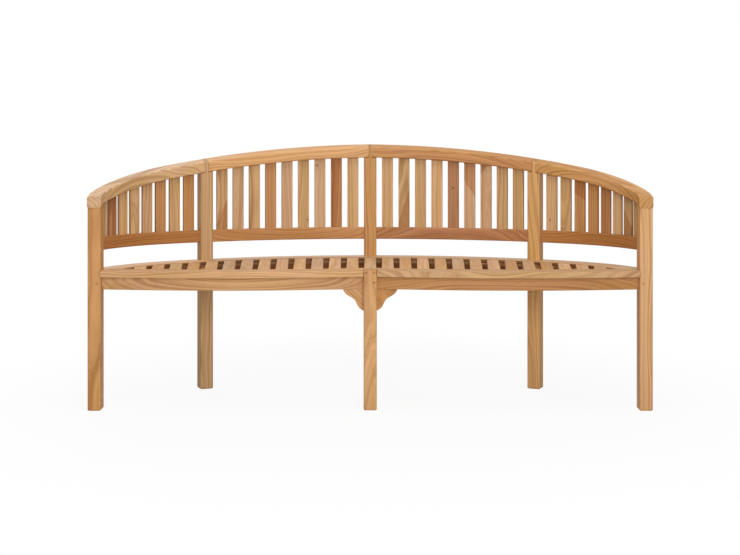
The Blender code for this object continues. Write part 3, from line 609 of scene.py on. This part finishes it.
# %% Take the slats off their rails
bay_slats = []
for bay in bay_names:
    rail = copy_solid("back_panel_" + bay, "teak_lower_rail_" + bay)
    top = rail_height(rail)
    slats = split_slats(rail, top)
    for piece in [rail] + slats:
        close_holes(piece)
    for slat in slats:
        sink_foot(slat, top)
        slat.name = f"teak_back_slat_{len(bay_slats) + 1:02d}"
        slat.data.name = slat.name
        ease(slat, "back_panel_" + bay)
        keep_board(slat, "back_panel_" + bay, "back slat")
        bay_slats.append(slat)
    ease(rail, "back_panel_" + bay)
    keep_board(rail, "back_panel_" + bay, "lower rail")
    print("bay", bay, "slats:", len(slats))

# %% [markdown]
# ## The seat's frame
#
# Curved boards edge the seat in front and behind, and grooved aprons stand under them between the posts.
# Three bearers run from front to back under the slats. Two small brackets with a double curve stiffen the
# front leg. All of these are flat boards with shaped outlines, so they are dressed as the posts are.

# %% Dress the seat's frame
dress("seat board", "seat_board")
dress("apron", "apron", "bearer")
dress("bracket", "leg_bracket")

# %% [markdown]
# ## The seat's slats
#
# The slats lie on the bearers and fan out a little from front to back. Each end is cut to the edge of the
# board that it meets, and has a tongue that goes into that board. The solids have all of that, so here too
# only the edges are eased. A slat's tongues stay crisp, because they lie inside their boards.

# %% Dress the seat's slats
dress("seat slat", "seat_slat")

# %% [markdown]
# ## Pegs
#
# A wooden peg through each tenon locks the joints, and its end shows as a small round dot. A dot of paint
# would look flat from the side, so one peg is modelled by hand: a short cylinder whose front is inset twice
# and pushed out each time, into a low dome.

# %% Model one peg
PEG_RADIUS = 0.0041
PEG_DEPTH = 0.004
PEG_SIDES = 24
PEG_RIM = 0.0009
PEG_DOME = 0.0002
PEG_DOME_STEPS = 2
PEG_PROUD = 0.0001

deselect()
bpy.ops.mesh.primitive_cylinder_add(
    vertices=PEG_SIDES, radius=PEG_RADIUS, depth=PEG_DEPTH, location=(0, 0, PEG_PROUD - PEG_DEPTH / 2)
)
peg_model = bpy.context.object
bpy.ops.object.transform_apply(location=True)
bpy.ops.object.mode_set(mode="EDIT")
bpy.ops.mesh.select_mode(type="FACE")
bpy.ops.mesh.select_all(action="DESELECT")
peg_mesh = bmesh.from_edit_mesh(peg_model.data)
for face in peg_mesh.faces:
    face.select = face.normal.z > UPWARDS
bmesh.update_edit_mesh(peg_model.data)
for _ in range(PEG_DOME_STEPS):
    bpy.ops.mesh.inset(thickness=PEG_RIM)
    bpy.ops.transform.translate(value=(0, 0, PEG_DOME / PEG_DOME_STEPS))
bpy.ops.object.mode_set(mode="OBJECT")
print("faces of a peg:", len(peg_model.data.polygons))

# %% [markdown]
# ## Where the pegs sit
#
# Four pegs hold the aprons in the front leg, and one shows in front of each end post. The others sit where a
# joiner needs them for the aprons and rails of the back: in the outer faces of the end posts and in the back
# of the middle post. Each is a copy of the first peg with a mesh of its own, turned to face outwards.

# %% Make the helper that sets a peg
pegs = []


def set_peg(place, facing):
    """Copies the peg to a place on a board, with its dome facing this way."""
    name = f"teak_peg_{len(pegs) + 1:02d}"
    peg = bpy.data.objects.new(name, peg_model.data.copy())
    bpy.context.scene.collection.objects.link(peg)
    turn = Vector(facing).to_track_quat("Z", "Y").to_matrix().to_4x4()
    peg.data.transform(Matrix.Translation(place) @ turn)
    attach(peg, "root")
    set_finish(peg, "teak_post")
    peg["kind"] = "peg"
    pegs.append(peg)


print("radius of a peg in metres:", PEG_RADIUS)

# %% Set the pegs
LEG_PEG_SPREAD = 0.0125
LEG_PEG_HEIGHTS = (0.4395, 0.408)
APRON_PEG_HEIGHT = 0.4055
RAIL_PEG_HEIGHT = 0.529
POST_PEG_INSET = 0.0115
SIDE_PEG_INSET = 0.007
REAR_PEG_SPREAD = 0.011

leg_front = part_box("front_leg_centre")[0].y
for height in LEG_PEG_HEIGHTS:
    for side in (-1, 1):
        set_peg((side * LEG_PEG_SPREAD, leg_front, height), (0, -1, 0))
post_low, post_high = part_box("end_post_right")
for side in (-1, 1):
    set_peg((side * (post_low.x + POST_PEG_INSET), post_low.y, APRON_PEG_HEIGHT), (0, -1, 0))
    for height in (APRON_PEG_HEIGHT, RAIL_PEG_HEIGHT):
        set_peg((side * post_high.x, post_high.y - SIDE_PEG_INSET, height), (side, 0, 0))
rear_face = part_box("rear_post_centre")[1].y
for height in (APRON_PEG_HEIGHT, RAIL_PEG_HEIGHT):
    for side in (-1, 1):
        set_peg((side * REAR_PEG_SPREAD, rear_face, height), (0, 1, 0))
bpy.data.objects.remove(peg_model)
print("pegs:", len(pegs))

# %% [markdown]
# ## A place in the tree for every board
#
# Wood grain is a solid pattern: growth rings lie round the middle of the trunk, and a saw cuts a board out
# of them. A flat pattern laid on each face would not match at the edges. So each board is given a place in
# its own imaginary trunk, and the material works out the rings from it. The board's long way becomes the
# trunk's, with a slight tilt, and a random distance and turn say where in the trunk it was cut. Two marks go
# with it: which faces are cut across the grain, and which get a painted shade because they lie in the gaps.

# %% Measure a board and write on its mesh
MOSTLY = 0.8


def main_ways(piece):
    """The middle of a board, and its ways along the grain, across it and through its thickness."""
    faces = piece.data.polygons
    centres = np.array([face.center for face in faces])
    areas = np.array([face.area for face in faces])
    middle = np.average(centres, axis=0, weights=areas)
    spread, ways = np.linalg.eigh(np.cov((centres - middle).T, aweights=areas))
    along, across, through = (Vector(ways[:, column]) for column in np.argsort(spread)[::-1])
    return Vector(middle), along, across, through


def write_attribute(piece, name, kind, domain, field, values):
    """Stores one value for each point or face of a mesh."""
    attribute = piece.data.attributes.new(name, kind, domain)
    attribute.data.foreach_set(field, np.array(values, dtype=np.float32).ravel())


level_boards = sum(abs(main_ways(piece)[1].z) < MOSTLY for piece in boards)
print("boards that lie level:", level_boards, "upright:", len(boards) - level_boards)

# %% [markdown]
# ## Planting the boards
#
# A board whose face lies along the rings shows arches, and one whose face cuts across them shows straight
# lines. A random turn round the trunk gives both, and a random distance makes the arches narrow or wide.
# Which numbers come up depends on the seed below, which can be any text: this one was chosen. The
# flanks of slats get half of a painted shade, and the faces of the seat's frame that look inwards get all
# of it, because they lie in the shade under the slats.

# %% Find the faces that get painted shade
UPRIGHT_FACE = 0.5
# A slat's flank lies in the shade of its neighbours, so it gets half of the painted shade.
FLANK_SHADE_SHARE = 0.5
SEAT_MIDDLE = Vector((0, 0.02, 0.43))


def painted_shade_share(piece, face, across):
    """How much painted shade a face gets: in part on a slat's flank, in full inside the seat's frame."""
    if "slat" in piece["kind"]:
        on_flank = abs(face.normal.dot(across)) > MOSTLY
        return FLANK_SHADE_SHARE if on_flank else 0.0
    # The inward faces of the seat's frame lie in shade under the slats, so they get the full painted shade.
    in_frame = piece["kind"] in ("seat board", "apron")
    looks_inwards = face.normal.dot(SEAT_MIDDLE - face.center) > 0
    return float(in_frame and abs(face.normal.z) < UPRIGHT_FACE and looks_inwards)


print("a slat's flank gets painted shade by this share:", FLANK_SHADE_SHARE)

# %% Make the helper that plants a board
TRUNK_NEAR = 0.035
TRUNK_FAR = 0.12
TRUNK_TILT = 0.025
FAR_AWAY = 9.0
GRAIN_SEED = "d"


def plant(piece, dice):
    """Gives every point of a board its place in the trunk that the board was sawn from."""
    middle, along, across, through = main_ways(piece)
    frame_turn = Matrix((along, across, through))
    tilt = Matrix.Rotation(dice.uniform(-TRUNK_TILT, TRUNK_TILT), 3, "Z")
    tilt = tilt @ Matrix.Rotation(dice.uniform(-TRUNK_TILT, TRUNK_TILT), 3, "Y")
    distance = dice.uniform(TRUNK_NEAR, TRUNK_FAR)
    turn = dice.uniform(0, 2 * pi)
    offset = Vector((dice.uniform(-FAR_AWAY, FAR_AWAY), distance * np.cos(turn), distance * np.sin(turn)))
    places = [tilt @ (frame_turn @ (corner.co - middle)) + offset for corner in piece.data.vertices]
    write_attribute(piece, "trunk_place", "FLOAT_VECTOR", "POINT", "vector", places)
    ends = [abs(face.normal.dot(along)) > MOSTLY for face in piece.data.polygons]
    write_attribute(piece, "end_grain", "FLOAT", "FACE", "value", ends)
    # Painted shade for the faces that lie in the gaps is stored here, as a share on each face.
    painted_shade = [painted_shade_share(piece, face, across) for face in piece.data.polygons]
    write_attribute(piece, "sawn_face", "FLOAT", "FACE", "value", painted_shade)
    return middle, along, across


print("metres from the trunk's middle:", TRUNK_NEAR, "to", TRUNK_FAR)

# %% [markdown]
# ## Colours of single boards
#
# Boards from many trees go into one bench, so each has its own tone: pale, golden, pinkish, orange or dark.
# One material for each board would repeat the same nodes a hundred times, so the tone is stored on the mesh
# and the finishes read it there. The tones that stand out in the picture are named here board by board,
# those of the back's slats from left to right. All the others are drawn at random from the tones that suit
# their kind, where one that is named twice comes up more often. Each board then drifts a little up or down.

# %% Name the tones
# Red, green and blue, each from 0 to 255
TONES = {
    "pale": (209, 166, 118),
    "blond": (202, 157, 106),
    "honey": (197, 150, 95),
    "golden": (192, 142, 84),
    "tan": (190, 151, 104),
    "pink": (194, 156, 115),
    "orange": (182, 131, 79),
    "russet": (167, 115, 72),
    "chestnut": (163, 109, 58),
    "umber": (156, 109, 72),
}

print("tones:", ", ".join(TONES))

# %% Choose a tone for each board
SLAT_TONES = (
    "tan russet tan tan tan orange tan orange "
    "tan pink tan orange pink tan pink orange tan "
    "tan tan tan pale umber pink pink tan tan "
    "tan tan orange orange russet pink tan tan"
).split()
BOARD_TONES = {
    "teak_end_post_left": "golden",
    "teak_end_post_right": "blond",
    "teak_front_leg_centre": "honey",
    "teak_rear_post_left": "tan",
    "teak_rear_post_centre": "golden",
    "teak_rear_post_right": "honey",
    "teak_top_rail_end_left": "pink",
    "teak_top_rail_middle_left": "honey",
    "teak_top_rail_middle_right": "orange",
    "teak_top_rail_end_right": "golden",
    "teak_lower_rail_end_left": "chestnut",
    "teak_lower_rail_middle_left": "orange",
    "teak_lower_rail_middle_right": "russet",
    "teak_lower_rail_end_right": "chestnut",
    "teak_seat_board_front_left": "blond",
    "teak_seat_board_front_right": "tan",
    "teak_apron_front_left": "blond",
    "teak_apron_front_right": "orange",
}
BOARD_TONES.update(zip([slat.name for slat in bay_slats], SLAT_TONES))
KIND_TONES = {
    "seat board": ("honey", "pale", "pink"),
    "apron": ("golden", "tan", "orange"),
    "bracket": ("orange", "honey"),
    "seat slat": ("pink", "pale", "pink", "honey", "pale"),
    "peg": ("russet",),
}

print("boards with a tone by name:", len(BOARD_TONES))

# %% Make the helper that tints a board
TONE_DRIFT = 0.06


def linear(level):
    """A colour level from 0 to 255, by the usual curve of screens, as the amount of light a shader wants."""
    share = level / 255
    return share / 12.92 if share < 0.04045 else ((share + 0.055) / 1.055) ** 2.4


def tint(piece, tone, dice):
    """Stores the board's own colour at every point."""
    gain = 1 + dice.uniform(-TONE_DRIFT, TONE_DRIFT)
    colour = [linear(level) * gain for level in TONES[tone]] + [1]
    colours = [colour] * len(piece.data.vertices)
    write_attribute(piece, "board_tone", "FLOAT_COLOR", "POINT", "color", colours)


print("a tone drifts up or down by this share:", TONE_DRIFT)

# %% [markdown]
# ## Heartwood and knots
#
# A few slats hold the border between pale sapwood and dark heartwood, which crosses them at a slant, and a
# few have small knots. Noise alone would put them anywhere. Both are places on one board, so they are stored
# on it too: how deep a point lies in the heartwood, and where it lies round the knot. A place is given in
# half boards from the middle: up or down along the slat, and to its side. A heartwood border also has a
# slope, as the way that leads into the dark wood.

# %% List the heartwood and the knots
HEART_EDGES = {
    "teak_back_slat_09": (-0.4, 0.0, (-0.4, 0.92)),
    "teak_back_slat_16": (0.0, 0.3, (0.05, -1.0)),
    "teak_back_slat_19": (-0.3, 0.2, (-0.3, 0.9)),
    "teak_back_slat_23": (0.15, 0.0, (0.5, 0.8)),
    "teak_back_slat_24": (0.75, -0.2, (0.6, -0.7)),
    "teak_back_slat_29": (0.3, 0.0, (0.85, 0.5)),
    "teak_back_slat_33": (-0.1, 0.0, (-0.5, -0.8)),
}
KNOTS = {
    "teak_back_slat_14": (-0.75, 0.7),
    "teak_back_slat_15": (0.72, -0.5),
    "teak_back_slat_22": (0.15, 0.0),
    "teak_back_slat_27": (-0.6, -0.3),
}

print("slats with heartwood:", len(HEART_EDGES), "with a knot:", len(KNOTS))

# %% Find a place on a slat
HALF_SLAT_WIDTH = 0.02
NEARLY_LEVEL = 0.1


def upright(way):
    """Turns a board's way round so that it points up, or to the right where it lies nearly level."""
    leading = way.x if abs(way.z) <= NEARLY_LEVEL else way.z
    return -way if leading < 0 else way


def slat_place(piece, middle, along, across, up, side):
    """A place on a slat, this many half lengths up and half widths to the side of its middle."""
    half_length = abs((Vector(piece.dimensions) / 2).dot(along))
    return middle + along * up * half_length + across * side * HALF_SLAT_WIDTH


print("half the width of a slat in metres:", HALF_SLAT_WIDTH)


# %% Make the helpers that mark a slat
def mark_heartwood(piece, middle, along, across):
    """Stores how far each point lies inside the heartwood, in metres."""
    depths = [-FAR_AWAY] * len(piece.data.vertices)
    if piece.name in HEART_EDGES:
        up, side, slope = HEART_EDGES[piece.name]
        border = slat_place(piece, middle, along, across, up, side)
        inward = (along * slope[0] + across * slope[1]).normalized()
        depths = [(corner.co - border).dot(inward) for corner in piece.data.vertices]
    write_attribute(piece, "heart_depth", "FLOAT", "POINT", "value", depths)


def mark_knot(piece, middle, along, across):
    """Stores each point's place round the board's knot, a branch that goes right through the board."""
    centre = middle + along * FAR_AWAY
    if piece.name in KNOTS:
        centre = slat_place(piece, middle, along, across, *KNOTS[piece.name])
    places = [corner.co - centre for corner in piece.data.vertices]
    flat_places = [(place.dot(along), place.dot(across), 0) for place in places]
    write_attribute(piece, "knot_place", "FLOAT_VECTOR", "POINT", "vector", flat_places)


print("boards without heartwood lie this far from it, in metres:", FAR_AWAY)

# %% [markdown]
# ## Marking every board
#
# Now every board and peg gets its place, its tone and its marks. The random numbers of a board start from
# its own name, so a board keeps its looks when another one is added or left out.

# %% Mark all boards and pegs
for piece in boards + pegs:
    dice = Random(GRAIN_SEED + piece.name)
    middle, along, across = plant(piece, dice)
    tint(piece, BOARD_TONES.get(piece.name) or dice.choice(KIND_TONES[piece["kind"]]), dice)
    mark_heartwood(piece, middle, upright(along), upright(across))
    mark_knot(piece, middle, upright(along), upright(across))
print("boards with a grain:", len(boards) + len(pegs))

# %% [markdown]
# ## Noise that follows the grain
#
# Nearly all that is seen on wood is longer along the grain than across it. Blender's noise has round spots,
# so the place in the trunk is squeezed first, by as many spots as there are in a metre each way. A colour is
# scaled by the same node, with one factor for each of red, green and blue.

# %% Make the helpers for patterns and colours
NOISE_MIDDLE = 0.5
SOFT_DETAIL = 1.0
FINE_DETAIL = 2.0


def stored(start, name, output):
    """Reads a value that was stored on the mesh."""
    return start.node("ShaderNodeAttribute", {"attribute_name": name}, output=output)


def scaled(vector, factors):
    """A place or a colour with each of its three parts multiplied by a factor."""
    return vector.node("ShaderNodeVectorMath", {"operation": "MULTIPLY"}, {0: vector, 1: factors})


def noise(place, spots, detail=FINE_DETAIL):
    """Soft noise from 0 to 1, with this many spots in a metre along the grain and across it."""
    along, across = spots
    inputs = {"Vector": scaled(place, (along, across, across)), "Scale": 1.0, "Detail": detail}
    return place.node("ShaderNodeTexNoise", {"noise_dimensions": "3D"}, inputs)


def noise_line(position, detail):
    """Noise from 0 to 1 along a single line of positions."""
    return position.node("ShaderNodeTexNoise", {"noise_dimensions": "1D"}, {"W": position, "Detail": detail})


def blend_colours(kind, share, first, second):
    """Mixes two colours by a share. Sockets 6 and 7 of the node take colours, and its output 2 gives one."""
    settings = {"data_type": "RGBA", "blend_type": kind}
    return share.node("ShaderNodeMix", settings, {0: share, 6: first, 7: second}, output=2)


print("noise goes both ways from", NOISE_MIDDLE)

# %% [markdown]
# ## Growth rings
#
# The distance to the middle of the trunk gives the rings. A trunk is never quite round, so two noises make
# that distance wander, broad and fine, and near a knot the rings bend out of its way. A wave would make all
# rings alike. A noise of the distance alone gives bands of uneven strength instead, a slower one the change
# from good to lean years, and a steep saw-tooth the thin dark line that ends each year.

# %% Make the ring patterns
BROAD_WANDER = (1.8, 9)
BROAD_REACH = 0.045
FINE_WANDER = (3, 50)
FINE_REACH = 0.004
KNOT_SWIRL = (0.002, 0.018)
SWIRL_REACH = 0.012
GROWTH_PACE = 0.32
YEAR_PACE = 0.7
YEAR_STEEPNESS = 5
ACROSS_ALONE = (0, 1, 1)


def ring_patterns(place, knot_distance, ring_lines):
    """The slow growth, the bands and the year lines, for about this many rings in a metre."""
    broad = (noise(place, BROAD_WANDER) - NOISE_MIDDLE) * BROAD_REACH
    fine = (noise(place, FINE_WANDER) - NOISE_MIDDLE) * FINE_REACH
    swirl = (1 - rise(knot_distance, *KNOT_SWIRL)) * SWIRL_REACH
    from_middle = length(scaled(place, ACROSS_ALONE))
    ring_place = (from_middle + (broad + fine) + swirl) * ring_lines
    growth = noise_line(ring_place * GROWTH_PACE, SOFT_DETAIL)
    bands = noise_line(ring_place, FINE_DETAIL)
    year_lines = ring_place.math("FRACT", ring_place * YEAR_PACE + bands) ** YEAR_STEEPNESS
    return growth, bands, year_lines


print("metres that the rings wander:", BROAD_REACH / 2)

# %% [markdown]
# ## The colour of teak
#
# Sanded teak is a warm tan wood whose hue drifts between golden and pinkish. A board's tone is multiplied by
# all that follows and never replaced, so light and dark boards keep their own hue. Over it go the dark
# stains of heartwood beyond its border, the heart of a knot and the thirsty end grain, and last a painted
# shade on the faces that lie deep in the gaps.

# %% Make the colours of a board
BLUSH = (1.1, 26)
BLUSH_LIMITS = (0.35, 0.65)
GOLDEN_SHIFT = (0.97, 0.97, 0.86)
PINK_SHIFT = (1.03, 1.02, 1.13)
HEART_RAGGED = (8, 50)
HEART_RAGGED_REACH = 0.01
HEART_BORDER = 0.0012
KNOT_HEART = (0.0022, 0.005)
STAINS_AND_SHADE = {
    "heartwood": (0.9, (0.78, 0.61, 0.47, 1)),
    "knot": (0.8, (0.25, 0.17, 0.12, 1)),
    "end grain": (0.7, (0.72, 0.64, 0.56, 1)),
    # Not a stain but painted shade: it darkens the faces that lie in the gaps, where shade falls.
    "sawn face": (1.0, (0.5, 0.37, 0.26, 1)),
}


def board_hue(place):
    """The board's own tone, here more golden and there more pink."""
    tone = stored(place, "board_tone", "Color")
    blush = rise(noise(place, BLUSH), *BLUSH_LIMITS)
    return blend_colours("MIX", blush, scaled(tone, GOLDEN_SHIFT), scaled(tone, PINK_SHIFT))


def stained_and_shaded(colour, place, knot_distance):
    """The colour with every stain and the painted gap shade laid over it, each at its own strength."""
    ragged = (noise(place, HEART_RAGGED) - NOISE_MIDDLE) * HEART_RAGGED_REACH
    shares = {
        "heartwood": rise(stored(place, "heart_depth", "Fac") + ragged, -HEART_BORDER, HEART_BORDER),
        "knot": 1 - rise(knot_distance, *KNOT_HEART),
        "end grain": stored(place, "end_grain", "Fac"),
        # The painted gap shade is read from the mesh, as a share on each face.
        "sawn face": stored(place, "sawn_face", "Fac"),
    }
    for mark, (strength, dark_overlay) in STAINS_AND_SHADE.items():
        colour = blend_colours("MULTIPLY", shares[mark] * strength, colour, dark_overlay)
    return colour


print("stains and painted shade:", ", ".join(STAINS_AND_SHADE))

# %% [markdown]
# ## Mixing the teak
#
# Rings, fibres, clouds and pores add up to one value that says how dark the wood is. It mixes a light and a
# dark form of the board's hue, and it also makes dark wood a little rougher. Fibres stand up, and pores and
# year lines lie deeper, which a faint bump shows in the gloss. Moulding them would take millions of faces.
# The figure says how strongly the rings show: most on the sawn curves of the rails and on the slats of the
# back, and least on the slats of the seat.

# %% Weigh the patterns
FIBRES = (12, 800)
PORES = (60, 1700)
CLOUDS = (1.3, 14)
PORE_LIMITS = (0.62, 0.72)
GROWTH_LIMITS = (0.38, 0.68)
BAND_LIMITS = (0.34, 0.7)
GROWTH_PART = 0.52
BAND_PART = 0.32
YEAR_PART = 0.16
CLOUD_PART = 1.0
PORE_PART = 0.14

print("the parts of the three ring patterns add up to:", round(GROWTH_PART + BAND_PART + YEAR_PART, 3))

# %% Mix the teak
SPECULAR_LEVEL = 0.3
MIDDLE_SHADE = 0.42
LIGHT_WOOD = (1.12, 1.15, 1.2)
DARK_WOOD = (0.64, 0.54, 0.44)
DARK_ROUGHNESS = 0.12
FIBRE_HEIGHT = 0.5
PORE_DEPTH = 0.8
YEAR_DEPTH = 0.3
BUMP_STRENGTH = 0.3
BUMP_DISTANCE = 0.0004


def teak(name, ring_lines, figure, fibre_contrast, roughness):
    """A teak finish: its rings in a metre, how strong its figure and its fibres are, and how rough it is."""
    paint = bpy.data.materials.new(name)
    paint.use_nodes = True
    start = Signal(paint.node_tree)
    place = stored(start, "trunk_place", "Vector")
    knot_distance = length(stored(start, "knot_place", "Vector"))
    growth, bands, year_lines = ring_patterns(place, knot_distance, ring_lines)
    fibres = noise(place, FIBRES)
    pores = rise(noise(place, PORES, SOFT_DETAIL), *PORE_LIMITS)
    clouds = noise(place, CLOUDS)

    rings = rise(growth, *GROWTH_LIMITS) * GROWTH_PART + rise(bands, *BAND_LIMITS) * BAND_PART
    dark = (rings + year_lines * YEAR_PART - MIDDLE_SHADE) * figure + MIDDLE_SHADE
    dark = dark + (fibres - NOISE_MIDDLE) * fibre_contrast
    dark = dark + (clouds - NOISE_MIDDLE) * CLOUD_PART + pores * PORE_PART
    share = dark.math("MINIMUM", dark.math("MAXIMUM", dark, 0.0), 1.0)
    hue = board_hue(place)
    wood = blend_colours("MIX", share, scaled(hue, LIGHT_WOOD), scaled(hue, DARK_WOOD))

    height = fibres * FIBRE_HEIGHT - pores * PORE_DEPTH - year_lines * YEAR_DEPTH
    relief = {"Strength": BUMP_STRENGTH, "Distance": BUMP_DISTANCE, "Height": height}
    looks = {
        "Base Color": stained_and_shaded(wood, place, knot_distance),
        "Roughness": roughness + dark * DARK_ROUGHNESS,
        "Normal": start.node("ShaderNodeBump", inputs=relief),
    }
    shader = paint.node_tree.nodes["Principled BSDF"]
    shader.inputs["Specular IOR Level"].default_value = SPECULAR_LEVEL
    for socket, value in looks.items():
        paint.node_tree.links.new(value.output, shader.inputs[socket])
    return paint


print("shade of middling wood:", MIDDLE_SHADE)

# %% [markdown]
# ## A finish for every slot
#
# All boards are of one wood, but they don't look the same. Posts, rails and aprons are cut from different
# planks, and sanded more or less well. So each slot of the model gets its own mix: the rings in a metre, the
# strength of the figure, that of the fibres, and the roughness. The tones and marks on the meshes do the
# rest, so the same finish looks different on every board.

# %% Lay the finish on every board
FINISHES = {
    "teak_post": (90, 0.9, 0.3, 0.56),
    "teak_rail": (78, 1.0, 0.3, 0.54),
    "teak_panel": (110, 1.0, 0.34, 0.6),
    "teak_seat_board": (75, 0.85, 0.28, 0.52),
    "teak_apron": (80, 0.9, 0.32, 0.6),
    "teak_seat_slat": (85, 0.6, 0.3, 0.54),
}

finishes = {name: teak(name, *mix) for name, mix in FINISHES.items()}
for piece in boards + pegs:
    piece.data.materials.clear()
    piece.data.materials.append(finishes[piece["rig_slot"]])
print("finishes:", len(finishes))

# %% Print the model's box
print("model's box:", cad_box)
